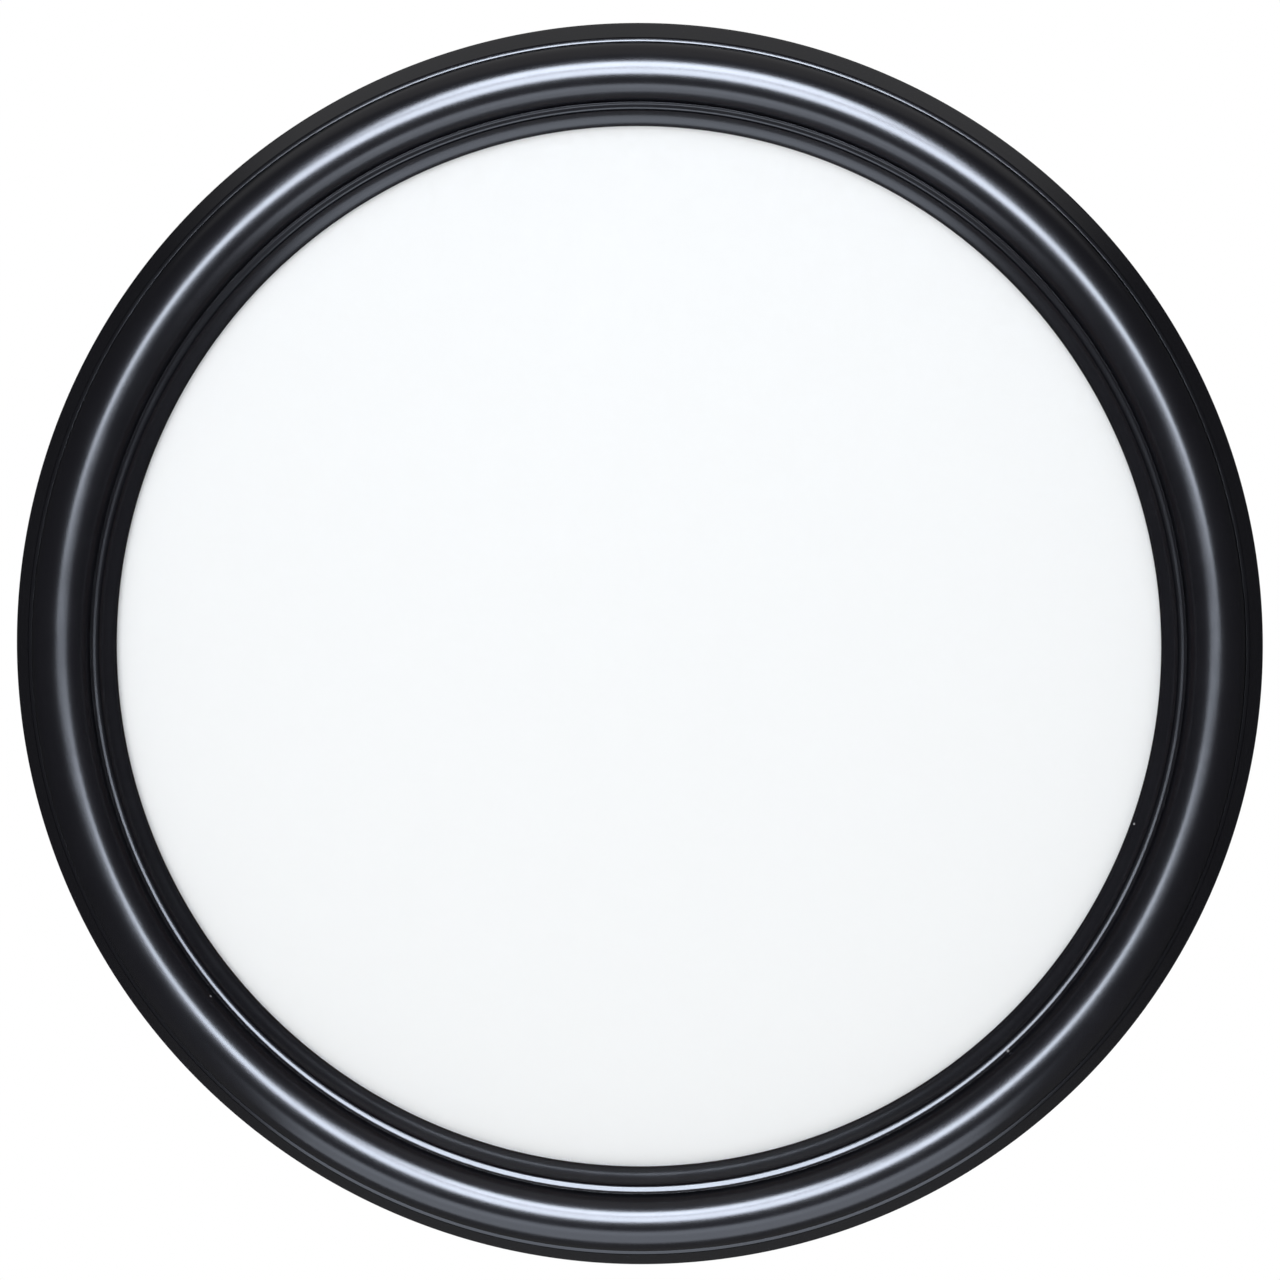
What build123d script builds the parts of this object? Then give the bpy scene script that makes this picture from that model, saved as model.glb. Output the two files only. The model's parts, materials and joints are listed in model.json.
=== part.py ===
from build123d import *
import math
import os

# A round wall frame of turned wood, in millimetres. The pieces are laid out with the frame lying on
# its back: x to the right, y up the wall, z towards the room, z = 0 at the wood's back. At the end
# each one is stood up against the wall: z up, the front towards -y, the origin at the hook point.

# Glazing package, front to back
glass_diameter = 305.0
glass_thickness = 2.0
glass_edge_chamfer = 0.3
insert_thickness = 0.5
backing_thickness = 3.0
backing_recess = 0.3
glazing_clearance = 0.7

# Ring, which covers the glass's edge by the lip's cover
lip_cover = 7.2
moulding_width = 28.5
segment_count = 8
back_edge_round = 0.6

# Inner lip, a round nose, a hollow cove and a small cove that rise from the sight edge to a sharp arris
lip_edge_thickness = 1.3
sight_edge_round = 0.3
nose_radius = 5.2
nose_first_slope = 57.0
lip_slope = 31.0
cove_radius = 8.55
cove_last_slope = 56.0
small_groove_width = 0.43
small_groove_bottom_share = 0.35
small_groove_depth = 0.7
small_bead_drop = 0.26
small_bead_radius = 2.2
small_bead_first_slope = 37.0
small_bead_last_slope = 16.0
small_flat_length = 0.47
small_cove_radius = 0.87
small_cove_last_slope = 48.0
small_rise_length = 0.5
inner_quirk_depth = 1.3

# Main bead, a half round whose outer flank turns down more sharply to the outer quirk
bead_radius = 8.35
bead_centre_from_sight = 15.31
bead_crest_height = 17.8
flank_first_slope = 58.0
flank_radius = 5.0

# Outer shoulder, a fine groove, and the band that slopes down to the side
outer_quirk_depth = 0.9
outer_quirk_width = 0.37
shoulder_radius = 2.7
shoulder_first_slope = 12.0
shoulder_last_slope = 32.0
band_groove_width = 0.25
band_groove_depth = 0.4
band_slope = 57.0
band_foot_round = 2.2
side_height = 2.4

# Glue joint dowels, two in each joint
dowel_diameter = 5.0
dowel_length = 24.0
dowel_height = 7.5
dowel_spacing = 8.0
dowel_end_chamfer = 0.5
glue_gap = 0.05
hole_end_gap = 0.5

# Turn buttons and their screws
button_angles = (45.0, 135.0, 225.0, 315.0)
button_width = 9.0
button_thickness = 1.0
button_over_backing = 6.5
button_edge_round = 0.2
button_lift = 0.2
screw_inset = 10.5
screw_shank_diameter = 2.8
screw_length = 10.0
screw_tip_length = 1.6
screw_tip_diameter = 0.6
screw_head_diameter = 5.4
screw_head_height = 1.4
screw_head_round = 0.5
recess_width = 0.8
recess_span = 3.0
recess_depth = 0.7
running_clearance = 0.05
head_clearance = 0.1

# Sawtooth hanger and its two nails
hanger_length = 46.0
hanger_height = 10.0
hanger_thickness = 1.0
hanger_rise = 1.8
hanger_tab_length = 8.0
hanger_ramp_length = 3.0
tooth_count = 9
tooth_pitch = 2.2
tooth_notch_width = 1.8
tooth_depth = 1.2
nail_diameter = 1.4
nail_length = 9.0
nail_tip_length = 1.2
nail_tip_diameter = 0.2
nail_head_diameter = 3.2
nail_head_height = 0.6
nail_from_end = 4.0

# Wall bumpers
bumper_angles = (240.0, 300.0)
bumper_diameter = 9.0
bumper_thickness = 3.2
bumper_edge_round = 1.0

# Overrun of every cut past the face it opens
cut_overrun = 1.0

# Turns in degrees, and the share of a segment's arc within which its cuts lie
full_turn = 360.0
half_turn = 180.0
quarter_turn = 90.0
near_share = 0.75

# Radii and heights that follow from the sizes above
glass_radius = glass_diameter / 2
rabbet_radius = glass_radius + glazing_clearance
sight_radius = rabbet_radius - lip_cover
outer_radius = sight_radius + moulding_width
rabbet_depth = glass_thickness + insert_thickness + backing_thickness + backing_recess
sight_edge_height = rabbet_depth + lip_edge_thickness
segment_arc = full_turn / segment_count
bead_centre_radius = sight_radius + bead_centre_from_sight
bead_centre_height = bead_crest_height - bead_radius
hardware_radius = rabbet_radius + screw_inset
wall_height = -bumper_thickness
hanger_low = hardware_radius - hanger_height / 2
hook_height = hanger_low + tooth_depth
button_reach = hardware_radius - glass_radius + button_over_backing
button_top = -button_lift - button_thickness
head_base = button_top - head_clearance


def at_angle(radius, angle):
    """The point at a radius and an angle from +x, in the plane of the ring."""
    return radius * math.cos(math.radians(angle)), radius * math.sin(math.radians(angle))


def climb(angle, length):
    """A step of a given length that climbs outwards at an angle from the ring's plane."""
    return Vector(length, 0).rotate(Axis.Z, angle)


def arc_step(radius, first_slope, last_slope):
    """The step outwards from one end to the other of an arc, whose slope grows or falls on the way."""
    low, high = sorted((first_slope, last_slope))
    return climb(high - quarter_turn, radius) - climb(low - quarter_turn, radius)


def add_arc(edges, start, radius, first_slope, last_slope):
    """Adds an arc to a line of edges, from a point on outwards, and gives back its end."""
    middle_slope = (first_slope + last_slope) / 2
    middle = start + arc_step(radius, first_slope, middle_slope)
    end = start + arc_step(radius, first_slope, last_slope)
    edges.append(ThreePointArc(start, middle, end))
    return end


def lip_edges():
    """The inner lip's line, from the sight edge to the foot of the main bead, and its last point."""
    edges = []
    sight_edge = Vector(sight_radius, sight_edge_height)
    nose_end = add_arc(edges, sight_edge, nose_radius, nose_first_slope, lip_slope)
    cove_end = add_arc(edges, nose_end, cove_radius, lip_slope, cove_last_slope)
    groove = cove_end + Vector(small_groove_width * small_groove_bottom_share, -small_groove_depth)
    small_bead = cove_end + Vector(small_groove_width, -small_bead_drop)
    edges.append(Polyline(cove_end, groove, small_bead))
    flat = add_arc(edges, small_bead, small_bead_radius, small_bead_first_slope, small_bead_last_slope)
    small_cove = flat + climb(small_bead_last_slope, small_flat_length)
    edges.append(Line(flat, small_cove))
    rise = add_arc(edges, small_cove, small_cove_radius, small_bead_last_slope, small_cove_last_slope)
    arris = rise + climb(small_cove_last_slope, small_rise_length)
    quirk_height = arris.Y - inner_quirk_depth
    above_centre = quirk_height - bead_centre_height
    foot = Vector(bead_centre_radius - math.sqrt(bead_radius**2 - above_centre**2), quirk_height)
    edges.append(Polyline(rise, arris, foot))
    return edges, foot


def bead_edges(foot):
    """The main bead's line, from its inner foot over the crest to its widest place, which it gives back."""
    crest = Vector(bead_centre_radius, bead_crest_height)
    flank = crest + arc_step(bead_radius, 0, -flank_first_slope)
    edges = [ThreePointArc(foot, crest, flank)]
    return edges, add_arc(edges, flank, flank_radius, -flank_first_slope, -quarter_turn)


def shoulder_edges(bead_side):
    """The outer shoulder and band, from the main bead's widest place to the outer side."""
    side_top = Vector(outer_radius, side_height)
    band_foot = side_top - arc_step(band_foot_round, -band_slope, -quarter_turn)
    shoulder_step = arc_step(shoulder_radius, -shoulder_first_slope, -shoulder_last_slope)
    shoulder_start = bead_side.X + outer_quirk_width
    band_top_radius = shoulder_start + shoulder_step.X + band_groove_width
    band_rise = (band_foot.X - band_top_radius) * math.tan(math.radians(band_slope))
    band_top = Vector(band_top_radius, band_foot.Y + band_rise)
    groove_drop = band_groove_width * math.tan(math.radians(shoulder_last_slope))
    shoulder_end = band_top + Vector(-band_groove_width, groove_drop)
    shoulder_top = shoulder_end - shoulder_step
    quirk = Vector(bead_side.X, shoulder_top.Y - outer_quirk_depth)
    groove = shoulder_end + Vector(band_groove_width / 2, -band_groove_depth)
    edges = [Polyline(bead_side, quirk, shoulder_top)]
    add_arc(edges, shoulder_top, shoulder_radius, -shoulder_first_slope, -shoulder_last_slope)
    edges.append(Polyline(shoulder_end, groove, band_top, band_foot))
    add_arc(edges, band_foot, band_foot_round, -band_slope, -quarter_turn)
    return edges


def moulding_profile():
    """The ring's section, as a face in the plane of x (radius) and z (height)."""
    lip, foot = lip_edges()
    bead, bead_side = bead_edges(foot)
    back = Polyline(
        (outer_radius, side_height),
        (outer_radius, 0),
        (rabbet_radius, 0),
        (rabbet_radius, rabbet_depth),
        (sight_radius, rabbet_depth),
        (sight_radius, sight_edge_height),
    )
    face = make_face([*lip, *bead, *shoulder_edges(bead_side), back])
    back_corner = face.vertices().sort_by_distance((outer_radius, 0))[0]
    face = fillet(back_corner, back_edge_round)
    sight_corner = face.vertices().sort_by_distance((sight_radius, sight_edge_height))[0]
    return Plane.XZ * fillet(sight_corner, sight_edge_round)


def dowel(diameter, length, joint_angle, radius, chamfer_size=0):
    """A pin that crosses one glue joint square to it, at a radius from the ring's axis."""
    pin = Cylinder(diameter / 2, length)
    if chamfer_size:
        pin = chamfer(pin.edges().filter_by(GeomType.CIRCLE), chamfer_size)
    place = Location((*at_angle(radius, joint_angle), dowel_height), (0, 0, joint_angle))
    return place * Rotation(90, 0, 0) * pin


def joint_places():
    """The joint angle and radius of every dowel."""
    middle = bead_centre_radius
    radii = (middle - dowel_spacing / 2, middle + dowel_spacing / 2)
    return [((i + 1 / 2) * segment_arc, radius) for i in range(segment_count) for radius in radii]


def pilot_hole(diameter, depth, x, y):
    """A round hole in the wood's back, open at the back."""
    drill = Cylinder(diameter / 2, depth + cut_overrun, align=(Align.CENTER, Align.CENTER, Align.MAX))
    return Pos(x, y, depth) * drill


def nail_places():
    """Where the two hanger nails enter the wood."""
    reach = hanger_length / 2 - nail_from_end
    middle = hanger_low + hanger_height / 2
    return [(-reach, middle), (reach, middle)]


def wood_cutters():
    """Everything that is drilled out of the ring."""
    hole = dowel_diameter + 2 * glue_gap
    length = dowel_length + 2 * hole_end_gap
    cutters = [dowel(hole, length, angle, radius) for angle, radius in joint_places()]
    screw_hole = screw_shank_diameter + 2 * running_clearance
    screw_depth = screw_length + head_base + hole_end_gap
    for angle in button_angles:
        cutters.append(pilot_hole(screw_hole, screw_depth, *at_angle(hardware_radius, angle)))
    nail_hole = nail_diameter + 2 * running_clearance
    nail_depth = nail_length - hanger_thickness + hole_end_gap
    for place in nail_places():
        cutters.append(pilot_hole(nail_hole, nail_depth, *place))
    return cutters


def turn_between(shape, angle):
    """How many degrees the middle of a shape lies from an angle round the ring."""
    middle = shape.center()
    turn = math.degrees(math.atan2(middle.Y, middle.X)) - angle
    return abs((turn + half_turn) % full_turn - half_turn)


def ring_segments():
    """The turned ring as glued segments, the first one centred on +x."""
    blank = revolve(moulding_profile(), axis=Axis.Z, revolution_arc=segment_arc)
    blank = Rotation(0, 0, -segment_arc / 2) * blank
    cutters = wood_cutters()
    segments = []
    for i in range(segment_count):
        angle = i * segment_arc
        near = [cutter for cutter in cutters if turn_between(cutter, angle) < segment_arc * near_share]
        segments.append(Rotation(0, 0, angle) * blank - near)
    return segments


def joint_dowels():
    """The dowels inside all the glue joints, as separate solids."""
    return Compound(
        children=[
            dowel(dowel_diameter, dowel_length, angle, radius, dowel_end_chamfer)
            for angle, radius in joint_places()
        ]
    )


def disc(thickness, base, edge_chamfer=0):
    """A round sheet of the glass's diameter, with its back at the base height."""
    sheet = Cylinder(glass_radius, thickness, align=(Align.CENTER, Align.CENTER, Align.MIN))
    if edge_chamfer:
        sheet = chamfer(sheet.edges().filter_by(GeomType.CIRCLE), edge_chamfer)
    return Pos(0, 0, base) * sheet


def turn_button(angle):
    """A flat plate with round ends, its arm pointing at the ring's axis over the backing."""
    plate = SlotCenterToCenter(button_reach - button_width / 2, button_width)
    plate = Pos(-(button_reach - button_width / 2) / 2, 0) * plate
    plate -= Circle(screw_shank_diameter / 2 + running_clearance)
    body = extrude(plate, -button_thickness)
    rim = body.faces().sort_by(Axis.Z)[0].outer_wire().edges()
    body = fillet(rim, button_edge_round)
    return Location((*at_angle(hardware_radius, angle), -button_lift), (0, 0, angle)) * body


def turned_pin(shank_diameter, length, tip_diameter, tip_length, head_diameter, head_height, head_round):
    """A round-headed pin that points to +z, with the head's seat at z = 0."""
    shank = Cylinder(
        shank_diameter / 2, length - tip_length, align=(Align.CENTER, Align.CENTER, Align.MIN)
    )
    tip = Pos(0, 0, length - tip_length) * Cone(
        shank_diameter / 2, tip_diameter / 2, tip_length, align=(Align.CENTER, Align.CENTER, Align.MIN)
    )
    head = Cylinder(head_diameter / 2, head_height, align=(Align.CENTER, Align.CENTER, Align.MAX))
    if head_round:
        head = fillet(head.edges().group_by(Axis.Z)[0], head_round)
    return head + shank + tip


def cross_recess():
    """The driver's cross in a screw head, cut from the head's top."""
    arm = Box(recess_span, recess_width, recess_depth + cut_overrun, align=(Align.CENTER, Align.CENTER, Align.MAX))
    return Pos(0, 0, recess_depth - screw_head_height) * (arm + Rotation(0, 0, 90) * arm)


def button_screws():
    """One pan-head screw for each turn button, as separate solids."""
    screw = turned_pin(
        screw_shank_diameter,
        screw_length,
        screw_tip_diameter,
        screw_tip_length,
        screw_head_diameter,
        screw_head_height,
        screw_head_round,
    )
    screw -= cross_recess()
    return Compound(
        children=[
            Location((*at_angle(hardware_radius, angle), head_base), (0, 0, angle)) * screw
            for angle in button_angles
        ]
    )


def sawtooth_hanger():
    """A bridged steel strip with teeth along its lower edge and a nail tab at each end."""
    end = hanger_length / 2
    tab = end - hanger_tab_length
    bridge = tab - hanger_ramp_length
    front = [(end, 0), (tab, 0), (bridge, -hanger_rise)]
    back = [(x, z - hanger_thickness) for x, z in front]
    right = front[::-1] + back
    left = [(-x, z) for x, z in right[::-1]]
    side = Plane.XZ * make_face(Polyline(*right, *left, close=True))
    strip = Pos(0, hanger_low, 0) * extrude(side, -hanger_height)
    reach = hanger_rise + hanger_thickness + cut_overrun
    notch = Pos(0, hanger_low, cut_overrun) * extrude(
        make_face(
            Polyline(
                (-tooth_notch_width / 2, 0),
                (0, tooth_depth),
                (tooth_notch_width / 2, 0),
                (tooth_notch_width / 2, -cut_overrun),
                (-tooth_notch_width / 2, -cut_overrun),
                close=True,
            )
        ),
        -reach - cut_overrun,
    )
    for i in range(tooth_count):
        strip -= Pos((i - (tooth_count - 1) / 2) * tooth_pitch, 0, 0) * notch
    for x, y in nail_places():
        drill = Cylinder(nail_diameter / 2 + running_clearance, 2 * reach)
        strip -= Pos(x, y, 0) * drill
    return strip


def hanger_nails():
    """The two nails that hold the hanger, as separate solids."""
    nail = turned_pin(
        nail_diameter, nail_length, nail_tip_diameter, nail_tip_length, nail_head_diameter, nail_head_height, 0
    )
    return Compound(children=[Pos(x, y, -hanger_thickness) * nail for x, y in nail_places()])


def wall_bumper(angle):
    """A round rubber foot on the wood's back that touches the wall."""
    foot = Cylinder(
        bumper_diameter / 2, bumper_thickness, align=(Align.CENTER, Align.CENTER, Align.MAX)
    )
    foot = fillet(foot.edges().group_by(Axis.Z)[0], bumper_edge_round)
    return Pos(*at_angle(hardware_radius, angle)) * foot


def on_wall(shape):
    """Stands a piece up against the wall, with the hook point at the origin."""
    return Rotation(90, 0, 0) * Pos(0, -hook_height, -wall_height) * shape


def all_pieces():
    """Every piece by its name, lying on its back."""
    pieces = {}
    for i, segment in enumerate(ring_segments()):
        pieces[f"ring_segment_{i + 1}"] = segment
    pieces["joint_dowels"] = joint_dowels()
    pieces["backing_board"] = disc(backing_thickness, backing_recess)
    pieces["photo_insert"] = disc(insert_thickness, backing_recess + backing_thickness)
    pieces["glass_pane"] = disc(glass_thickness, rabbet_depth - glass_thickness, glass_edge_chamfer)
    for i, angle in enumerate(button_angles):
        pieces[f"turn_button_{i + 1}"] = turn_button(angle)
    pieces["turn_button_screws"] = button_screws()
    pieces["sawtooth_hanger"] = sawtooth_hanger()
    pieces["hanger_nails"] = hanger_nails()
    for i, angle in enumerate(bumper_angles):
        pieces[f"wall_bumper_{i + 1}"] = wall_bumper(angle)
    return pieces


os.makedirs("parts", exist_ok=True)
for name, piece in all_pieces().items():
    export_step(on_wall(piece), f"parts/{name}.step")
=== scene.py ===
import bpy
import json
import math
from mathutils import Matrix, Vector

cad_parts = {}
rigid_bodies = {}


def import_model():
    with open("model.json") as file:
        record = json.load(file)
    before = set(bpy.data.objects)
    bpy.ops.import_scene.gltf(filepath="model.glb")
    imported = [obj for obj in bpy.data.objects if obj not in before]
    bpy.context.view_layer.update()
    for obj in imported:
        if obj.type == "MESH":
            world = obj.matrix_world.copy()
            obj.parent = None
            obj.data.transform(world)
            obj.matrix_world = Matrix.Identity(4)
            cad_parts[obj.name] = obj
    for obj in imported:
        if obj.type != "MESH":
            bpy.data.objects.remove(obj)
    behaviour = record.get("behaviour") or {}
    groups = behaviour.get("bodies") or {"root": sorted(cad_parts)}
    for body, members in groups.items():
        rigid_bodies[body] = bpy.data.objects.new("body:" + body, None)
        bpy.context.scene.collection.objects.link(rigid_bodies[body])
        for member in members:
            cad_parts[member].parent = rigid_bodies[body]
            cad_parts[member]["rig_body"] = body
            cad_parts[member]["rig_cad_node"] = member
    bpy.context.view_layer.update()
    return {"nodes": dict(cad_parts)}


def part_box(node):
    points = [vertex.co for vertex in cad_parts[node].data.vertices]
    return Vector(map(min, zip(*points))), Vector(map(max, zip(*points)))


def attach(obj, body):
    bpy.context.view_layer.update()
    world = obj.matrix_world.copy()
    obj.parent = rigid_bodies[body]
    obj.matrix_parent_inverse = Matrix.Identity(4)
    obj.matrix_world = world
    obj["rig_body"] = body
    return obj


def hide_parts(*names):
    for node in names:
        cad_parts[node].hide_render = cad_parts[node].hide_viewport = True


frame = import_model()

# Everything is in metres, in the frame's own axes: +Z up the wall, the front towards -Y
MM = 0.001

# Where the ring stands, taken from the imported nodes: the rubber feet stand on the wood's back
glass_low, glass_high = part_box("glass_pane")
CENTRE = Vector((0.0, 0.0, (glass_low.z + glass_high.z) / 2))
WOOD_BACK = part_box("wall_bumper_1")[0].y

# How many pieces there are of each repeated kind
SEGMENT_COUNT = 8
TURN_BUTTON_COUNT = 4
BUMPER_COUNT = 2

# The moulding's sizes, as in the model
GLASS_RADIUS = (glass_high.x - glass_low.x) / 2
GLAZING_CLEARANCE = 0.7 * MM
RABBET_RADIUS = GLASS_RADIUS + GLAZING_CLEARANCE
LIP_COVER = 7.2 * MM
MOULDING_WIDTH = 28.5 * MM
RABBET_DEPTH = WOOD_BACK - glass_low.y
LIP_EDGE_THICKNESS = 1.3 * MM
SIGHT_EDGE_ROUND = 0.3 * MM
NOSE_RADIUS = 5.2 * MM
NOSE_FIRST_SLOPE = 57
LIP_SLOPE = 31
COVE_RADIUS = 8.55 * MM
COVE_LAST_SLOPE = 56
SMALL_GROOVE_WIDTH = 0.43 * MM
SMALL_GROOVE_BOTTOM_SHARE = 0.35
SMALL_GROOVE_DEPTH = 0.7 * MM
SMALL_BEAD_DROP = 0.26 * MM
SMALL_BEAD_RADIUS = 2.2 * MM
SMALL_BEAD_FIRST_SLOPE = 37
SMALL_BEAD_LAST_SLOPE = 16
SMALL_FLAT_LENGTH = 0.47 * MM
SMALL_COVE_RADIUS = 0.87 * MM
SMALL_COVE_LAST_SLOPE = 48
SMALL_RISE_LENGTH = 0.5 * MM
SMALL_ARRIS_ROUND = 0.03 * MM
INNER_QUIRK_DEPTH = 1.3 * MM
BEAD_RADIUS = 8.35 * MM
BEAD_CENTRE_FROM_SIGHT = 15.31 * MM
BEAD_CREST_HEIGHT = 17.8 * MM
FLANK_FIRST_SLOPE = 58
FLANK_RADIUS = 5.0 * MM
OUTER_QUIRK_DEPTH = 0.9 * MM
OUTER_QUIRK_WIDTH = 0.37 * MM
SHOULDER_RADIUS = 2.7 * MM
SHOULDER_FIRST_SLOPE = 12
SHOULDER_LAST_SLOPE = 32
SHOULDER_ARRIS_ROUND = 0.05 * MM
BAND_GROOVE_WIDTH = 0.25 * MM
BAND_GROOVE_DEPTH = 0.4 * MM
BAND_SLOPE = 57
BAND_FOOT_ROUND = 2.2 * MM
SIDE_HEIGHT = 2.4 * MM
BACK_EDGE_ROUND = 0.6 * MM
SIGHT_RADIUS = RABBET_RADIUS - LIP_COVER
OUTER_RADIUS = SIGHT_RADIUS + MOULDING_WIDTH

# The air film between two sheets that lie on each other
AIR_BETWEEN_SHEETS = 0.03 * MM

# How far the edges of the other pieces are eased
GLASS_EDGE_ROUND = 0.3 * MM
CARD_EDGE_ROUND = 0.05 * MM
BOARD_EDGE_ROUND = 0.35 * MM
PLATE_EDGE_ROUND = 0.12 * MM
SCREW_EDGE_ROUND = 0.1 * MM
RUBBER_EDGE_ROUND = 0.1 * MM

# How finely the round pieces are drawn
STEPS_PER_SEGMENT = 60
SHEET_SIDES = 360
SHEET_RIM_LOOP = 2 * MM

# The photograph: a square of 1280 pixels, seen from slightly above the frame's axis.
# SILHOUETTE_HEIGHT is where the ring's outline lies above the wood's back, and
# AIM_DROP_PIXELS is how much lower the camera aims so that both outlines fit the photo's
PHOTO_PIXELS = 1280
RING_CENTRE_PIXEL = (639.53, 643.47)
RING_HALF_WIDTH_PIXELS = 622.93
CAMERA_AZIMUTH = 1.8
CAMERA_ELEVATION = 5.3
CAMERA_DISTANCE = 2.0
SENSOR_WIDTH = 36.0
SILHOUETTE_HEIGHT = 1.2 * MM
AIM_DROP_PIXELS = 0.9


def deselect():
    """Leaves object mode and selects nothing."""
    if bpy.context.mode != "OBJECT":
        bpy.ops.object.mode_set(mode="OBJECT")
    bpy.ops.object.select_all(action="DESELECT")


def make_active(piece):
    """Selects one piece alone and makes it the active one."""
    deselect()
    piece.select_set(True)
    bpy.context.view_layer.objects.active = piece


def settle(piece):
    """Puts a piece's place into its mesh, so that its object sits at the origin."""
    make_active(piece)
    bpy.ops.object.transform_apply(location=True, rotation=True, scale=True)


def smooth(piece, angle=30):
    """Shades a piece smooth, but for edges sharper than an angle."""
    make_active(piece)
    bpy.ops.object.shade_smooth_by_angle(angle=math.radians(angle))


def bevel_edges(piece, width, segments=2, angle=35):
    """Rounds a piece's sharp edges."""
    make_active(piece)
    bevel = piece.modifiers.new("edges", "BEVEL")
    bevel.width = width
    bevel.segments = segments
    bevel.limit_method = "ANGLE"
    bevel.angle_limit = math.radians(angle)
    bpy.ops.object.modifier_apply(modifier=bevel.name)


# Drawing a turned section, vertex by vertex


def section_point(radius, height):
    """A point of the ring's section, from its radius and its height above the wood's back."""
    return CENTRE + Vector((radius, WOOD_BACK - height, 0))


class SectionLine:
    """One open line of the ring's section, drawn like a turner's template."""

    def __init__(self, name, radius, height):
        deselect()
        bpy.ops.mesh.primitive_plane_add(size=MM, location=section_point(radius, height))
        self.piece = bpy.context.object
        self.piece.name = name
        self.at = Vector((radius, height))
        self.slope = 0
        bpy.ops.object.mode_set(mode="EDIT")
        bpy.ops.mesh.merge(type="CENTER")

    def line_to(self, radius, height):
        """Draws a straight line to a point."""
        step = Vector((radius, height)) - self.at
        if step.length > 0:
            self.slope = math.degrees(math.atan2(step.y, step.x))
            bpy.ops.mesh.extrude_vertices_move(TRANSFORM_OT_translate={"value": (step.x, -step.y, 0)})
            self.at += step

    def ahead(self, length, slope=None):
        """Draws a straight line of a length, at a slope or straight on."""
        if slope is not None:
            self.slope = slope
        turn = math.radians(self.slope)
        self.line_to(*(self.at + Vector((math.cos(turn), math.sin(turn))) * length))

    def bend(self, radius, last_slope, degrees_per_step=9):
        """Draws an arc, from the line's slope to the last one."""
        turn = last_slope - self.slope
        side = math.copysign(1, turn)
        start = math.radians(self.slope)
        to_centre = Vector((-math.sin(start), math.cos(start))) * side * radius
        centre = self.at + to_centre
        steps = max(1, math.ceil(abs(turn) / degrees_per_step))
        middle = section_point(*centre)
        bpy.ops.mesh.spin(steps=steps, angle=math.radians(turn), center=middle, axis=(0, 0, 1))
        end = math.radians(last_slope)
        self.at = centre - Vector((-math.sin(end), math.cos(end))) * side * radius
        self.slope = last_slope

    def close(self):
        """Joins the last vertex to the first and hands over the finished line."""
        bpy.ops.mesh.select_all(action="SELECT")
        bpy.ops.mesh.remove_doubles(threshold=MM / 1000)
        bpy.ops.object.mode_set(mode="OBJECT")
        return self.piece


def draw_lip(section):
    """The inner lip, from the sight wall to the foot of the main bead."""
    edge_height = RABBET_DEPTH + LIP_EDGE_THICKNESS
    slope_start = math.tan(math.radians((90 - NOSE_FIRST_SLOPE) / 2)) * SIGHT_EDGE_ROUND
    section.line_to(SIGHT_RADIUS, edge_height - slope_start)
    section.bend(SIGHT_EDGE_ROUND, NOSE_FIRST_SLOPE)
    section.bend(NOSE_RADIUS, LIP_SLOPE, 3)
    section.bend(COVE_RADIUS, COVE_LAST_SLOPE, 2)
    groove_side = section.at.copy()
    groove_bottom = SMALL_GROOVE_WIDTH * SMALL_GROOVE_BOTTOM_SHARE
    section.line_to(groove_side.x + groove_bottom, groove_side.y - SMALL_GROOVE_DEPTH)
    section.line_to(groove_side.x + SMALL_GROOVE_WIDTH, groove_side.y - SMALL_BEAD_DROP)
    section.slope = SMALL_BEAD_FIRST_SLOPE
    section.bend(SMALL_BEAD_RADIUS, SMALL_BEAD_LAST_SLOPE, 2.5)
    section.ahead(SMALL_FLAT_LENGTH)
    section.bend(SMALL_COVE_RADIUS, SMALL_COVE_LAST_SLOPE, 4)
    section.ahead(SMALL_RISE_LENGTH)
    quirk_height = section.at.y - INNER_QUIRK_DEPTH
    bead_centre_height = BEAD_CREST_HEIGHT - BEAD_RADIUS
    reach = math.sqrt(BEAD_RADIUS**2 - (quirk_height - bead_centre_height) ** 2)
    foot_radius = SIGHT_RADIUS + BEAD_CENTRE_FROM_SIGHT - reach
    wall_slope = math.degrees(math.atan2(quirk_height - section.at.y, foot_radius - section.at.x))
    section.bend(SMALL_ARRIS_ROUND, wall_slope, 14)
    section.line_to(foot_radius, quirk_height)


def draw_bead(section):
    """The main half-round bead, down to its widest place."""
    bead_centre_height = BEAD_CREST_HEIGHT - BEAD_RADIUS
    first_slope = math.degrees(math.acos((section.at.y - bead_centre_height) / BEAD_RADIUS))
    section.slope = first_slope
    section.bend(BEAD_RADIUS, -FLANK_FIRST_SLOPE, 4)
    section.bend(FLANK_RADIUS, -90, 4)


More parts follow.
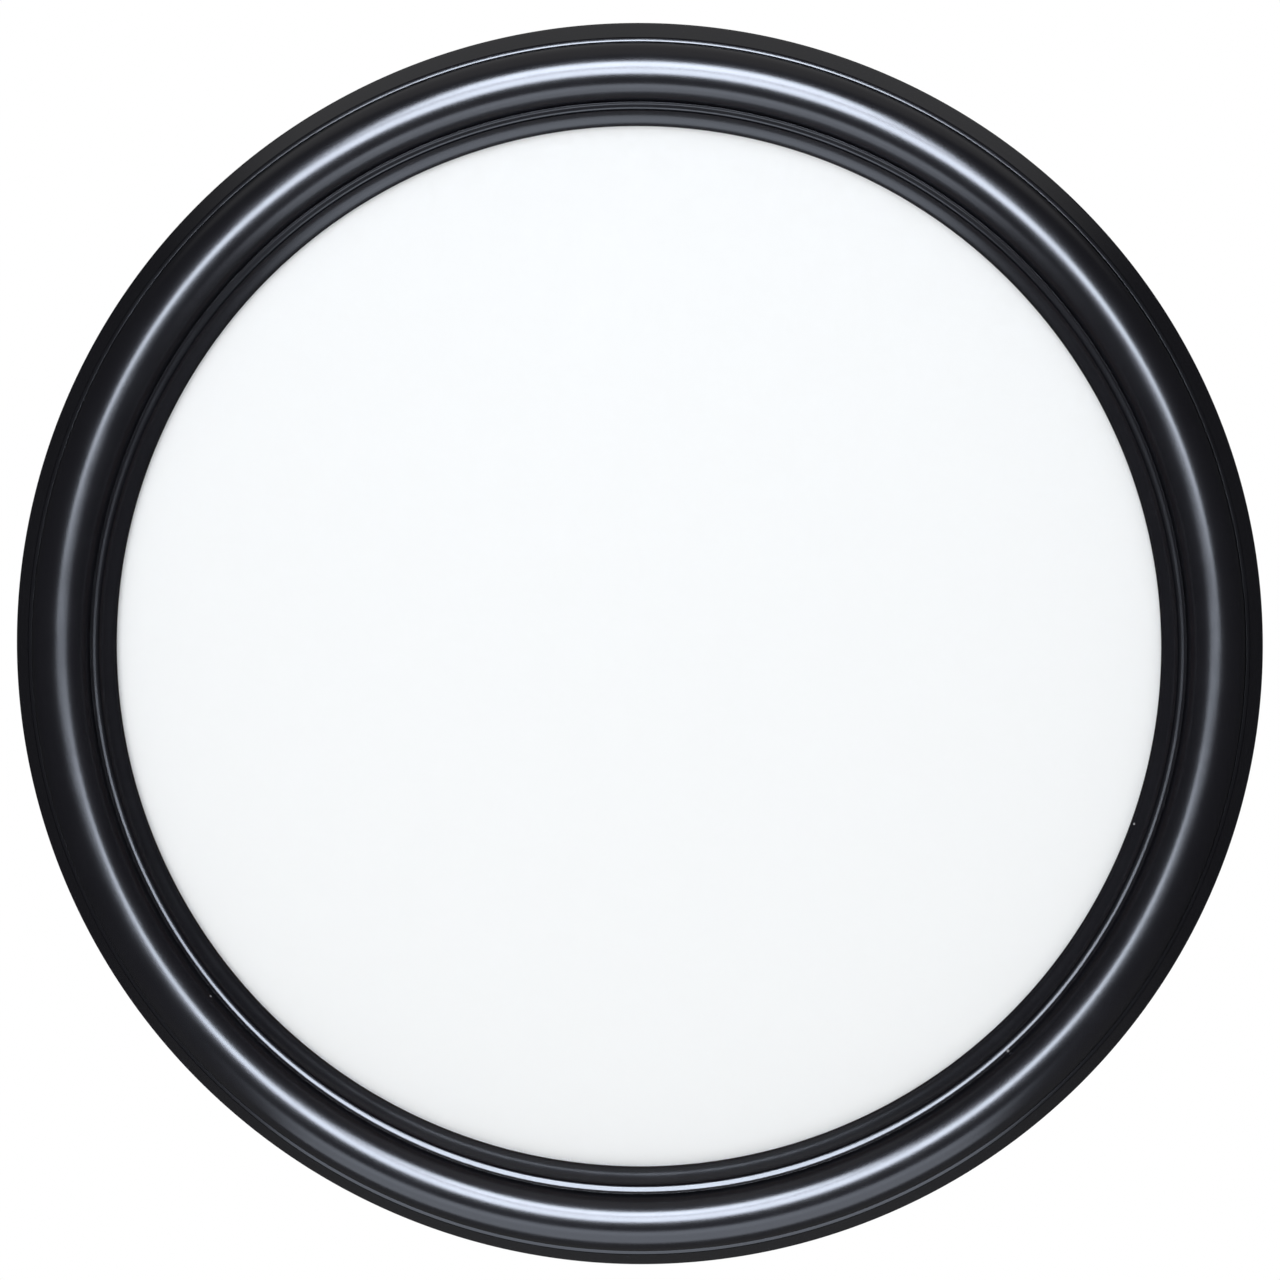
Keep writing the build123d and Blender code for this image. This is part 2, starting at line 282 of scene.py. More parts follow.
def draw_shoulder(section):
    """The shoulder, the sloping band and the outer side, down to the back."""
    first, last = math.radians(SHOULDER_FIRST_SLOPE), math.radians(SHOULDER_LAST_SLOPE)
    steep = math.radians(BAND_SLOPE)
    start_radius = section.at.x + OUTER_QUIRK_WIDTH
    end_radius = start_radius + SHOULDER_RADIUS * (math.sin(last) - math.sin(first))
    band_radius = end_radius + BAND_GROOVE_WIDTH
    foot_radius = OUTER_RADIUS - BAND_FOOT_ROUND * (1 - math.sin(steep))
    foot_height = SIDE_HEIGHT + BAND_FOOT_ROUND * math.cos(steep)
    band_height = foot_height + (foot_radius - band_radius) * math.tan(steep)
    end_height = band_height + BAND_GROOVE_WIDTH * math.tan(last)
    start_height = end_height + SHOULDER_RADIUS * (math.cos(first) - math.cos(last))
    section.line_to(section.at.x, start_height - OUTER_QUIRK_DEPTH)
    quirk_wall = math.atan2(OUTER_QUIRK_DEPTH, OUTER_QUIRK_WIDTH)
    arris_start = SHOULDER_ARRIS_ROUND * math.tan((quirk_wall + first) / 2)
    section.ahead(math.hypot(OUTER_QUIRK_WIDTH, OUTER_QUIRK_DEPTH) - arris_start, math.degrees(quirk_wall))
    section.bend(SHOULDER_ARRIS_ROUND, -SHOULDER_FIRST_SLOPE, 12)
    section.bend(SHOULDER_RADIUS, -SHOULDER_LAST_SLOPE, 3)
    section.line_to(end_radius + BAND_GROOVE_WIDTH / 2, end_height - BAND_GROOVE_DEPTH)
    section.line_to(band_radius, band_height)
    section.line_to(foot_radius, foot_height)
    section.bend(BAND_FOOT_ROUND, -90, 4)
    section.line_to(OUTER_RADIUS, BACK_EDGE_ROUND)
    section.bend(BACK_EDGE_ROUND, -180)


def fill_end(piece, angle):
    """Closes one cut end of a segment with a face."""
    make_active(piece)
    across = Vector((-math.sin(angle), 0, math.cos(angle)))
    for vertex in piece.data.vertices:
        vertex.select = abs((vertex.co - CENTRE).dot(across)) < MM / 100
    for edge in piece.data.edges:
        edge.select = all(piece.data.vertices[i].select for i in edge.vertices)
    bpy.ops.object.mode_set(mode="EDIT")
    bpy.ops.mesh.select_mode(type="EDGE")
    bpy.ops.mesh.edge_face_add()
    bpy.ops.mesh.select_mode(type="VERT")
    bpy.ops.object.mode_set(mode="OBJECT")


def turned_segment():
    """The first segment of the ring, centred on +X, spun from its section."""
    section = SectionLine("turned_segment", SIGHT_RADIUS, RABBET_DEPTH)
    draw_lip(section)
    draw_bead(section)
    draw_shoulder(section)
    section.line_to(RABBET_RADIUS, 0)
    section.line_to(RABBET_RADIUS, RABBET_DEPTH)
    section.line_to(SIGHT_RADIUS, RABBET_DEPTH)
    piece = section.close()
    settle(piece)
    arc = math.tau / SEGMENT_COUNT
    piece.data.transform(turn_about_axis(-arc / 2))
    make_active(piece)
    bpy.ops.object.mode_set(mode="EDIT")
    bpy.ops.mesh.select_all(action="SELECT")
    bpy.ops.mesh.spin(steps=STEPS_PER_SEGMENT, angle=arc, center=CENTRE, axis=(0, 1, 0))
    bpy.ops.object.mode_set(mode="OBJECT")
    fill_end(piece, -arc / 2)
    fill_end(piece, arc / 2)
    make_active(piece)
    bpy.ops.object.mode_set(mode="EDIT")
    bpy.ops.mesh.select_all(action="SELECT")
    bpy.ops.mesh.normals_make_consistent(inside=False)
    bpy.ops.object.mode_set(mode="OBJECT")
    smooth(piece)
    return piece


def turn_about_axis(angle):
    """The turn about the ring's own axis, anticlockwise as seen from the front."""
    return Matrix.Translation(CENTRE) @ Matrix.Rotation(-angle, 4, "Y") @ Matrix.Translation(-CENTRE)


def ring_pieces():
    """All the segments of the ring, each a turned copy of the first with its own mesh."""
    first = turned_segment()
    pieces = []
    for i in range(SEGMENT_COUNT):
        piece = first if i == 0 else first.copy()
        if i > 0:
            piece.data = first.data.copy()
            bpy.context.scene.collection.objects.link(piece)
            piece.data.transform(turn_about_axis(i * math.tau / SEGMENT_COUNT))
        piece.name = f"turned_segment_{i + 1}"
        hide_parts(f"ring_segment_{i + 1}")
        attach(piece, "frame")
        pieces.append(piece)
    return pieces


# Sheets in the rabbet


def round_sheet(name, node, edge_round):
    """A round sheet in a node's place, with its rim eased and a loop of faces inside the rim."""
    low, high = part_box(node)
    deselect()
    bpy.ops.mesh.primitive_cylinder_add(
        vertices=SHEET_SIDES,
        radius=GLASS_RADIUS,
        depth=high.y - low.y - 2 * AIR_BETWEEN_SHEETS,
        location=(CENTRE.x, (low.y + high.y) / 2, CENTRE.z),
        rotation=(math.pi / 2, 0, 0),
    )
    sheet = bpy.context.object
    sheet.name = name
    settle(sheet)
    bevel_edges(sheet, edge_round, 3)
    make_active(sheet)
    for face in sheet.data.polygons:
        face.select = abs(face.normal.y) > 0.99 and face.area > MM**2
    bpy.ops.object.mode_set(mode="EDIT")
    bpy.ops.mesh.inset(thickness=SHEET_RIM_LOOP, use_individual=True)
    bpy.ops.object.mode_set(mode="OBJECT")
    smooth(sheet)
    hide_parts(node)
    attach(sheet, "frame")
    return sheet


# Hardware on the back


def eased_copy(node, name, body, edge_round):
    """A node's own shape with its edges eased and its round faces smooth."""
    piece = frame["nodes"][node].copy()
    piece.data = frame["nodes"][node].data.copy()
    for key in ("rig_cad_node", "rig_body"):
        if key in piece:
            del piece[key]
    piece.parent = None
    piece.name = name
    piece.data.materials.clear()
    bpy.context.scene.collection.objects.link(piece)
    piece.hide_render = False
    piece.hide_viewport = False
    make_active(piece)
    bpy.ops.object.mode_set(mode="EDIT")
    bpy.ops.mesh.select_all(action="SELECT")
    bpy.ops.mesh.remove_doubles(threshold=MM / 1000)
    bpy.ops.mesh.dissolve_limited(angle_limit=math.radians(1))
    bpy.ops.object.mode_set(mode="OBJECT")
    bevel_edges(piece, edge_round)
    smooth(piece)
    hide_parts(node)
    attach(piece, body)
    return piece


# Building shaders


class Shader:
    """A node tree with short ways to add and join its nodes."""

    def __init__(self, tree):
        self.tree = tree

    def feed(self, socket, value):
        """Gives an input its value, or links the socket that feeds it."""
        if isinstance(value, bpy.types.NodeSocket):
            self.tree.links.new(value, socket)
        else:
            socket.default_value = value

    def add(self, kind, settings=None, **inputs):
        """Adds a node. Inputs go by name, or by number after an i, as in i0."""
        node = self.tree.nodes.new(kind)
        for key, value in (settings or {}).items():
            setattr(node, key, value)
        for key, value in inputs.items():
            index = int(key[1:]) if key[0] == "i" and key[1:].isdigit() else key.replace("_", " ")
            self.feed(node.inputs[index], value)
        return node

    def math(self, operation, first, second=0.0):
        """One sum on two values."""
        return self.add("ShaderNodeMath", {"operation": operation}, i0=first, i1=second).outputs[0]

    def vector(self, operation, first, second=(0, 0, 0)):
        """One sum on two vectors."""
        return self.add("ShaderNodeVectorMath", {"operation": operation}, i0=first, i1=second)

    def spread(self, value, from_low, from_high, to_low, to_high):
        """Carries a value from one range to another, and stops at its ends."""
        node = self.add(
            "ShaderNodeMapRange",
            Value=value,
            From_Min=from_low,
            From_Max=from_high,
            To_Min=to_low,
            To_Max=to_high,
        )
        return node.outputs["Result"]

    def mix(self, share, first, second):
        """Mixes two colours."""
        node = self.add("ShaderNodeMix", {"data_type": "RGBA"})
        for socket, value in ((node.inputs[0], share), (node.inputs[6], first), (node.inputs[7], second)):
            self.feed(socket, value)
        return node.outputs[2]


def new_group(name, inputs, outputs):
    """An empty shader group with float or vector sockets, and its own shader."""
    group = bpy.data.node_groups.new(name, "ShaderNodeTree")
    for socket, kind in inputs.items():
        group.interface.new_socket(socket, in_out="INPUT", socket_type=kind)
    for socket in outputs:
        group.interface.new_socket(socket, in_out="OUTPUT", socket_type="NodeSocketFloat")
    shader = Shader(group)
    return group, shader, shader.add("NodeGroupInput").outputs, shader.add("NodeGroupOutput").inputs


def wood_grain_group():
    """Fine pores and slow growth bands that run along the vector's X."""
    group, shader, given, out = new_group(
        "wood_grain", {"Vector": "NodeSocketVector", "Density": "NodeSocketFloat"}, ["Pores", "Bands"]
    )
    along = shader.vector("MULTIPLY", given["Vector"], (0.06, 1, 1)).outputs[0]
    pores = shader.add(
        "ShaderNodeTexNoise", Vector=along, Scale=given["Density"], Detail=3.0, Roughness=0.6
    )
    slow = shader.math("MULTIPLY", given["Density"], 0.13)
    bands = shader.add("ShaderNodeTexNoise", Vector=along, Scale=slow, Detail=2.0, Distortion=0.6)
    shader.tree.links.new(pores.outputs["Fac"], out["Pores"])
    shader.tree.links.new(bands.outputs["Fac"], out["Bands"])
    return group


def turning_marks_group():
    """The faint rings that a turning tool leaves about the vector's Y axis."""
    group, shader, given, out = new_group(
        "turning_marks", {"Vector": "NodeSocketVector", "Density": "NodeSocketFloat"}, ["Height"]
    )
    flat = shader.vector("MULTIPLY", given["Vector"], (1, 0, 1)).outputs[0]
    radius = shader.vector("LENGTH", flat).outputs["Value"]
    rings = shader.add(
        "ShaderNodeTexNoise", {"noise_dimensions": "1D"}, W=radius, Scale=given["Density"], Detail=2.0
    )
    shader.tree.links.new(rings.outputs["Fac"], out["Height"])
    return group


def specks_group():
    """Sparse small dots, such as dust or nibs."""
    group, shader, given, out = new_group(
        "specks",
        {"Vector": "NodeSocketVector", "Density": "NodeSocketFloat", "Share": "NodeSocketFloat"},
        ["Mask"],
    )
    cells = shader.add("ShaderNodeTexVoronoi", Vector=given["Vector"], Scale=given["Density"])
    near = shader.math("LESS_THAN", cells.outputs["Distance"], 0.12)
    colour = shader.add("ShaderNodeSeparateColor", Color=cells.outputs["Color"])
    chosen = shader.math("LESS_THAN", colour.outputs[0], given["Share"])
    mask = shader.math("MULTIPLY", near, chosen)
    shader.tree.links.new(mask, out["Mask"])
    return group


WOOD_GRAIN = wood_grain_group()
TURNING_MARKS = turning_marks_group()
SPECKS = specks_group()


def new_material(name):
    """A material with its shader, its Principled BSDF and the object's own coordinates."""
    material = bpy.data.materials.new(name)
    material.use_nodes = True
    shader = Shader(material.node_tree)
    surface = material.node_tree.nodes["Principled BSDF"]
    place = shader.add("ShaderNodeTexCoord").outputs["Object"]
    return material, shader, surface, place


def use_group(shader, group, **inputs):
    """Places a shared group in a material, with this material's own values."""
    node = shader.add("ShaderNodeGroup", {"node_tree": group})
    for key, value in inputs.items():
        shader.feed(node.inputs[key], value)
    return node.outputs


def lacquer(name, angle):
    """Black satin lacquer over one segment of wood, whose grain lies along the segment."""
    material, shader, surface, place = new_material(name)
    link = shader.tree.links.new
    centred = shader.vector("SUBTRACT", place, CENTRE).outputs[0]
    grain_turn = (0, angle + math.pi / 2, 0)
    turned = shader.add("ShaderNodeMapping", Vector=centred, Rotation=grain_turn).outputs[0]
    grain = use_group(shader, WOOD_GRAIN, Vector=turned, Density=900.0)
    marks = use_group(shader, TURNING_MARKS, Vector=centred, Density=1500.0)
    dust = use_group(shader, SPECKS, Vector=place, Density=260.0, Share=0.0016)
    depth = shader.add("ShaderNodeSeparateXYZ", Vector=place).outputs["Y"]
    back = shader.spread(depth, WOOD_BACK - 1.2 * MM, WOOD_BACK - 0.2 * MM, 0.0, 1.0)
    front_colour = shader.mix(grain["Bands"], (0.0078, 0.0078, 0.0104, 1), (0.0100, 0.0100, 0.0132, 1))
    back_colour = shader.mix(grain["Pores"], (0.010, 0.009, 0.008, 1), (0.030, 0.022, 0.016, 1))
    colour = shader.mix(back, front_colour, back_colour)
    dusty = shader.mix(dust["Mask"], colour, (0.32, 0.32, 0.33, 1))
    link(dusty, surface.inputs["Base Color"])
    haze = shader.add("ShaderNodeTexNoise", Vector=place, Scale=90.0, Detail=2.0).outputs["Fac"]
    front_roughness = shader.spread(haze, 0.3, 0.7, 0.22, 0.25)
    dull = shader.math("MULTIPLY", back, 0.3)
    link(shader.math("ADD", front_roughness, dull), surface.inputs["Roughness"])
    peel = shader.add("ShaderNodeTexNoise", Vector=place, Scale=700.0, Detail=1.0).outputs["Fac"]
    grain_depth = shader.spread(back, 0.0, 1.0, 0.25, 1.0)
    relief = shader.math("MULTIPLY", grain["Pores"], grain_depth)
    relief = shader.math("ADD", relief, shader.math("MULTIPLY", marks["Height"], 0.35))
    relief = shader.math("ADD", relief, shader.math("MULTIPLY", peel, 0.3))
    bump = shader.add("ShaderNodeBump", Strength=0.25, Distance=0.02 * MM, Height=relief)
    link(bump.outputs[0], surface.inputs["Normal"])
    surface.inputs["IOR"].default_value = 1.5
    return material


def clear_glass():
    """Float glass with a trace of green, which lets light through to the card."""
    material, shader, surface, place = new_material("clear_glass")
    surface.inputs["Transmission Weight"].default_value = 1.0
    surface.inputs["IOR"].default_value = 1.5
    smear = shader.add("ShaderNodeTexNoise", Vector=place, Scale=14.0, Detail=3.0).outputs["Fac"]
    shader.tree.links.new(shader.spread(smear, 0.35, 0.75, 0.0, 0.02), surface.inputs["Roughness"])
    tint = shader.mix(smear, (0.993, 0.997, 0.995, 1), (0.998, 1.0, 0.999, 1))
    shader.tree.links.new(tint, surface.inputs["Base Color"])
    path = shader.add("ShaderNodeLightPath").outputs
    passing = shader.math("MAXIMUM", path["Is Shadow Ray"], path["Is Diffuse Ray"])
    clear = shader.add("ShaderNodeBsdfTransparent", Color=(0.99, 0.993, 0.991, 1))
    both = shader.add("ShaderNodeMixShader", i0=passing, i1=surface.outputs[0], i2=clear.outputs[0])
    output = material.node_tree.nodes["Material Output"]
    shader.tree.links.new(both.outputs[0], output.inputs["Surface"])
    return material


def white_card():
    """Smooth bright card with a trace of fibre."""
    material, shader, surface, place = new_material("white_card")
    fibre = shader.add("ShaderNodeTexNoise", Vector=place, Scale=1200.0, Detail=4.0).outputs["Fac"]
    tone = shader.mix(fibre, (0.93, 0.93, 0.925, 1), (0.96, 0.96, 0.96, 1))
    shader.tree.links.new(tone, surface.inputs["Base Color"])
    shader.tree.links.new(shader.spread(fibre, 0.3, 0.7, 0.55, 0.7), surface.inputs["Roughness"])
    bump = shader.add("ShaderNodeBump", Strength=0.1, Distance=0.02 * MM, Height=fibre)
    shader.tree.links.new(bump.outputs[0], surface.inputs["Normal"])
    return material


def hardboard():
    """Pressed brown board with short fibres on its smooth face."""
    material, shader, surface, place = new_material("hardboard")
    link = shader.tree.links.new
    fibres = shader.add(
        "ShaderNodeTexNoise", Vector=place, Scale=420.0, Detail=6.0, Roughness=0.7, Distortion=1.2
    ).outputs["Fac"]
    cloud = shader.add("ShaderNodeTexNoise", Vector=place, Scale=22.0, Detail=3.0).outputs["Fac"]
    chips = use_group(shader, SPECKS, Vector=place, Density=520.0, Share=0.10)
    tone = shader.mix(cloud, (0.165, 0.088, 0.045, 1), (0.235, 0.132, 0.070, 1))
    contrast = shader.spread(fibres, 0.35, 0.65, 0.0, 1.0)
    tone = shader.mix(shader.math("MULTIPLY", contrast, 0.35), tone, (0.105, 0.055, 0.028, 1))
    tone = shader.mix(shader.math("MULTIPLY", chips["Mask"], 0.5), tone, (0.34, 0.22, 0.13, 1))
    link(tone, surface.inputs["Base Color"])
    link(shader.spread(fibres, 0.3, 0.7, 0.42, 0.62), surface.inputs["Roughness"])
    bump = shader.add("ShaderNodeBump", Strength=0.35, Distance=0.05 * MM, Height=fibres)
    link(bump.outputs[0], surface.inputs["Normal"])
    return material


def plated_steel(name, base, roughness):
    """Nickel-plated sheet steel with fine rolling marks and a few dull spots."""
    material, shader, surface, place = new_material(name)
    link = shader.tree.links.new
    surface.inputs["Metallic"].default_value = 1.0
    along = shader.vector("MULTIPLY", place, (0.08, 1, 1)).outputs[0]
    marks = shader.add("ShaderNodeTexNoise", Vector=along, Scale=5000.0, Detail=3.0).outputs["Fac"]
    spots = shader.add("ShaderNodeTexNoise", Vector=place, Scale=350.0, Detail=4.0).outputs["Fac"]
    dull = tuple(0.7 * c for c in base)
    tone = shader.mix(shader.spread(spots, 0.5, 0.75, 0.0, 0.6), (*base, 1), (*dull, 1))
    link(tone, surface.inputs["Base Color"])
    rough = shader.spread(spots, 0.35, 0.75, roughness - 0.05, roughness + 0.14)
    link(rough, surface.inputs["Roughness"])
    bump = shader.add("ShaderNodeBump", Strength=0.18, Distance=0.02 * MM, Height=marks)
    link(bump.outputs[0], surface.inputs["Normal"])
    return material


def black_rubber():
    """Matt moulded rubber."""
    material, shader, surface, place = new_material("black_rubber")
    link = shader.tree.links.new
    grit = shader.add("ShaderNodeTexNoise", Vector=place, Scale=2600.0, Detail=3.0).outputs["Fac"]
    dust = shader.add("ShaderNodeTexNoise", Vector=place, Scale=500.0, Detail=3.0).outputs["Fac"]
    dusty = shader.spread(dust, 0.45, 0.8, 0.0, 0.5)
    tone = shader.mix(dusty, (0.017, 0.017, 0.018, 1), (0.055, 0.053, 0.050, 1))
    link(tone, surface.inputs["Base Color"])
    link(shader.spread(grit, 0.3, 0.7, 0.6, 0.8), surface.inputs["Roughness"])
    bump = shader.add("ShaderNodeBump", Strength=0.5, Distance=0.03 * MM, Height=grit)
    link(bump.outputs[0], surface.inputs["Normal"])
    return material


def bare_beech():
    """Pale dowel wood."""
    material, shader, surface, place = new_material("bare_beech")
    link = shader.tree.links.new
    grain = use_group(shader, WOOD_GRAIN, Vector=place, Density=1400.0)
    tone = shader.mix(grain["Pores"], (0.42, 0.27, 0.15, 1), (0.58, 0.41, 0.26, 1))
    link(tone, surface.inputs["Base Color"])
    link(shader.spread(grain["Bands"], 0.3, 0.7, 0.5, 0.65), surface.inputs["Roughness"])
    return material


def pale_floor():
    """A plain pale floor, a little cloudy."""
    material, shader, surface, place = new_material("pale_floor")
    cloud = shader.add("ShaderNodeTexNoise", Vector=place, Scale=3.0).outputs["Fac"]
    tone = shader.mix(cloud, (0.86, 0.86, 0.86, 1), (0.88, 0.88, 0.88, 1))
    shader.tree.links.new(tone, surface.inputs["Base Color"])
    surface.inputs["Roughness"].default_value = 0.8
    return material


def dress(piece, material):
    """Gives a piece one material."""
    piece.data.materials.clear()
    piece.data.materials.append(material)


# Making and dressing the frame

ring = ring_pieces()
for i, segment in enumerate(ring):
    dress(segment, lacquer(f"black_lacquer_{i + 1}", i * math.tau / SEGMENT_COUNT))

glass = round_sheet("glass_disc", "glass_pane", GLASS_EDGE_ROUND)
dress(glass, clear_glass())
card = round_sheet("blank_card", "photo_insert", CARD_EDGE_ROUND)
dress(card, white_card())
# The photo's lacquer doesn't mirror the white inside, so card and glass stay out of reflections
glass.visible_glossy = False
card.visible_glossy = False
board = round_sheet("hardboard_back", "backing_board", BOARD_EDGE_ROUND)
dress(board, hardboard())

metal_pieces = bpy.data.collections.new("metal_pieces")
nickel = plated_steel("nickel_plate", (0.60, 0.58, 0.54), 0.30)
bright_nickel = plated_steel("bright_nickel", (0.66, 0.64, 0.60), 0.22)
for i in range(TURN_BUTTON_COUNT):
    button_body = f"turn_button_{i + 1}"
    button = eased_copy(button_body, f"turn_plate_{i + 1}", button_body, PLATE_EDGE_ROUND)
    dress(button, nickel)
    metal_pieces.objects.link(button)
hardware = (
    ("turn_button_screws", "pan_head_screws", SCREW_EDGE_ROUND, bright_nickel),
    ("sawtooth_hanger", "toothed_hanger", PLATE_EDGE_ROUND, nickel),
    ("hanger_nails", "round_nails", PLATE_EDGE_ROUND, bright_nickel),
)
for node, name, edge_round, finish in hardware:
    piece = eased_copy(node, name, "frame", edge_round)
    dress(piece, finish)
    metal_pieces.objects.link(piece)
rubber = black_rubber()
for i in range(BUMPER_COUNT):
    foot = eased_copy(f"wall_bumper_{i + 1}", f"rubber_foot_{i + 1}", "frame", RUBBER_EDGE_ROUND)
    dress(foot, rubber)
dress(frame["nodes"]["joint_dowels"], bare_beech())


# Lights


def direction(azimuth, elevation):
    """A unit vector away from the ring: straight ahead of its front, then turned right and up."""
    a, e = math.radians(azimuth), math.radians(elevation)
    return Vector((math.sin(a) * math.cos(e), -math.cos(a) * math.cos(e), math.sin(e)))


# The photo has no glare inside the ring, so the bright panels light everything but the glass
all_but_the_glass = bpy.data.collections.new("all_but_the_glass")
for piece in bpy.context.scene.objects:
    if piece.type == "MESH" and piece != glass:
        all_but_the_glass.objects.link(piece)

COOL_LIGHT = (0.91, 1.0, 1.16)
WHITE_LIGHT = (1.0, 1.0, 1.0)


def soft_panel(name, centre, size, facing, radiance, mirrored_by=None):
    """A soft rectangular panel that some pieces mirror, or else one that gives diffuse light alone."""
    in_gloss = mirrored_by is not None
    lamp = bpy.data.lights.new(name, "AREA")
    lamp.shape = "RECTANGLE"
    lamp.size, lamp.size_y = size
    lamp.energy = radiance * math.pi * lamp.size * lamp.size_y
    lamp.color = COOL_LIGHT if in_gloss else WHITE_LIGHT
    panel = bpy.data.objects.new(name, lamp)
    bpy.context.scene.collection.objects.link(panel)
    panel.location = CENTRE + centre
    panel.rotation_euler = (-facing).to_track_quat("Z", "Y").to_euler()
    panel.visible_camera = False
    panel.visible_diffuse = not in_gloss
    panel.visible_glossy = in_gloss
    panel.visible_transmission = False
    if in_gloss:
        panel.light_linking.receiver_collection = mirrored_by


# Two panels in front, one above the other, and the pale table top that they light
PANEL_LEFT = -0.351
PANEL_RIGHT = 0.328
PANEL_HEIGHTS = ((0.002, 0.383), (0.443, 0.872))
PANEL_GLOSS = (22.4, 26.8)
PANEL_DISTANCE = 1.034
PANEL_LEAN = 0.0957
for i, (low, high) in enumerate(PANEL_HEIGHTS):
    middle = (low + high) / 2
    soft_panel(
        f"front_panel_{i + 1}",
        Vector(((PANEL_LEFT + PANEL_RIGHT) / 2, PANEL_LEAN * middle - PANEL_DISTANCE, middle)),
        (PANEL_RIGHT - PANEL_LEFT, (high - low) * math.hypot(1, PANEL_LEAN)),
        Vector((0, 1, -PANEL_LEAN)),
        PANEL_GLOSS[i],
        all_but_the_glass,
    )

TABLE_DROP = 0.42
TABLE_SIDES = (-0.296, 0.277)
TABLE_DEPTHS = (0.064, 0.286, 0.508)
TABLE_GLOSS = (2.3, 3.3)
for i, table_gloss in enumerate(TABLE_GLOSS):
    near, far = TABLE_DEPTHS[i : i + 2]
    soft_panel(
        f"table_glow_{i + 1}",
        Vector((sum(TABLE_SIDES) / 2, -(near + far) / 2, -TABLE_DROP)),
        (TABLE_SIDES[1] - TABLE_SIDES[0], far - near),
        Vector((0, 0, 1)),
        table_gloss,
        all_but_the_glass,
    )

# Fill light for the colours themselves, in front and behind
FILL_DISTANCE = 2.0
FILL_SIZE = (1.4, 1.4)
FILL_LEVEL = 3.3
FRONT_FILL_FROM = direction(-8, 2)
BACK_FILL_FROM = direction(165, 35)
soft_panel("front_fill", FRONT_FILL_FROM * FILL_DISTANCE, FILL_SIZE, -FRONT_FILL_FROM, FILL_LEVEL)
soft_panel("back_fill", BACK_FILL_FROM * FILL_DISTANCE, FILL_SIZE, -BACK_FILL_FROM, FILL_LEVEL)

# Two wide panels behind, mirrored by the metal pieces alone
BACK_PANEL_DISTANCE = 1.3
BACK_PANEL_SIZE = (3.6, 1.1)
BACK_PANEL_HEIGHTS = (0.45, -0.75)
BACK_PANEL_GLOSS = (0.75, 0.35)
for i, height in enumerate(BACK_PANEL_HEIGHTS):
    soft_panel(
        f"back_panel_{i + 1}",
        Vector((0, BACK_PANEL_DISTANCE, height)),
        BACK_PANEL_SIZE,
        Vector((0, -1, 0)),
        BACK_PANEL_GLOSS[i],
        metal_pieces,
    )


# Floor, world and camera

FLOOR_SIZE = 2.4
FLOOR_DEPTH_SHARE = 0.75
deselect()
bpy.ops.mesh.primitive_grid_add(
    x_subdivisions=4,
    y_subdivisions=4,
    size=FLOOR_SIZE,
    location=CENTRE + Vector((0, 0, -TABLE_DROP - MM)),
)
floor = bpy.context.object
floor.name = "pale_floor"
floor.data.transform(Matrix.Scale(FLOOR_DEPTH_SHARE, 4, (0, 1, 0)))
settle(floor)
dress(floor, pale_floor())
floor.visible_glossy = False

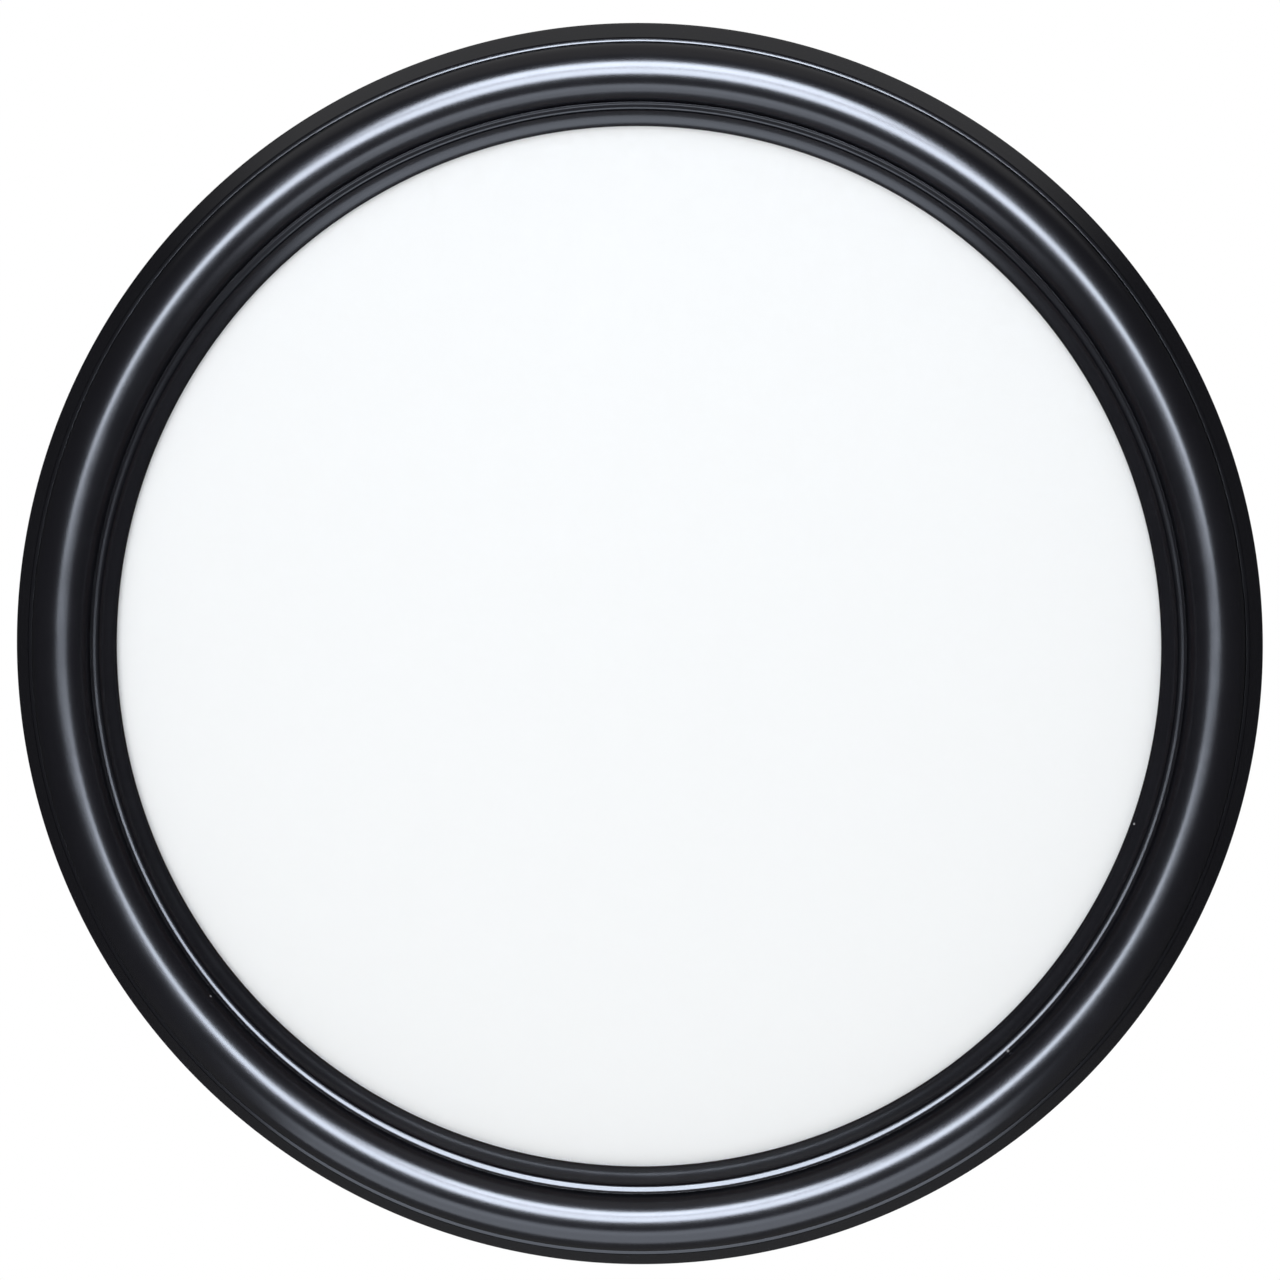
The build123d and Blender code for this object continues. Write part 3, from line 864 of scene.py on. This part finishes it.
# The world is white to the camera and even in diffuse light. In gloss it is dark, but for a
# bright patch behind the ring, a dim one above and a dimmer one below
DIFFUSE_WORLD = 0.5
world = bpy.data.worlds.new("white_studio")
bpy.context.scene.world = world
world.use_nodes = True
world.node_tree.nodes.clear()
sky = Shader(world.node_tree)
towards = sky.add("ShaderNodeTexCoord").outputs["Generated"]
parts = sky.add("ShaderNodeSeparateXYZ", Vector=towards).outputs
behind = sky.spread(parts["Y"], 0.94, 0.99, 0.02, 1.0)
leaning_back = sky.math("ADD", parts["Z"], sky.math("MULTIPLY", parts["Y"], 0.5))
overhead = sky.math(
    "MINIMUM",
    sky.spread(leaning_back, 0.58, 0.8, 0.0, 0.4),
    sky.spread(parts["Z"], 0.52, 0.7, 0.0, 0.4),
)
below = sky.spread(parts["Z"], -0.4, -0.8, 0.0, 0.13)
mirrored = sky.math("MAXIMUM", behind, sky.math("MAXIMUM", overhead, below))
path = sky.add("ShaderNodeLightPath").outputs
gloss = sky.math("MAXIMUM", path["Is Glossy Ray"], path["Is Transmission Ray"])
strength = sky.mix(gloss, (DIFFUSE_WORLD,) * 3 + (1,), mirrored)
strength = sky.mix(path["Is Camera Ray"], strength, (1, 1, 1, 1))
light = sky.add("ShaderNodeBackground", Color=strength)
sky.tree.links.new(light.outputs[0], sky.add("ShaderNodeOutputWorld").inputs["Surface"])

ring_plane = CENTRE + Vector((0, WOOD_BACK - SILHOUETTE_HEIGHT, 0))
pixel = OUTER_RADIUS / RING_HALF_WIDTH_PIXELS
camera_data = bpy.data.cameras.new("photo_camera")
camera_data.sensor_width = SENSOR_WIDTH
camera_data.lens = SENSOR_WIDTH * CAMERA_DISTANCE / (PHOTO_PIXELS * pixel)
camera = bpy.data.objects.new("photo_camera", camera_data)
bpy.context.scene.collection.objects.link(camera)
bpy.context.scene.camera = camera
back = direction(CAMERA_AZIMUTH, CAMERA_ELEVATION)
camera.rotation_euler = back.to_track_quat("Z", "Y").to_euler()
turn = camera.rotation_euler.to_matrix()
# The near half of the ring looks larger, which moves the middle of its outline
leaning = (turn.transposed() @ Vector((0, -1, 0))).to_2d() * OUTER_RADIUS**2 / CAMERA_DISTANCE
middle_pixel = (PHOTO_PIXELS - 1) / 2
ring_up = middle_pixel - RING_CENTRE_PIXEL[1] + AIM_DROP_PIXELS
ring_offset = Vector((RING_CENTRE_PIXEL[0] - middle_pixel, ring_up)) * pixel
aim = -(leaning + ring_offset)
camera.location = ring_plane + back * CAMERA_DISTANCE + turn @ aim.to_3d()

bpy.context.scene.view_settings.view_transform = "Standard"
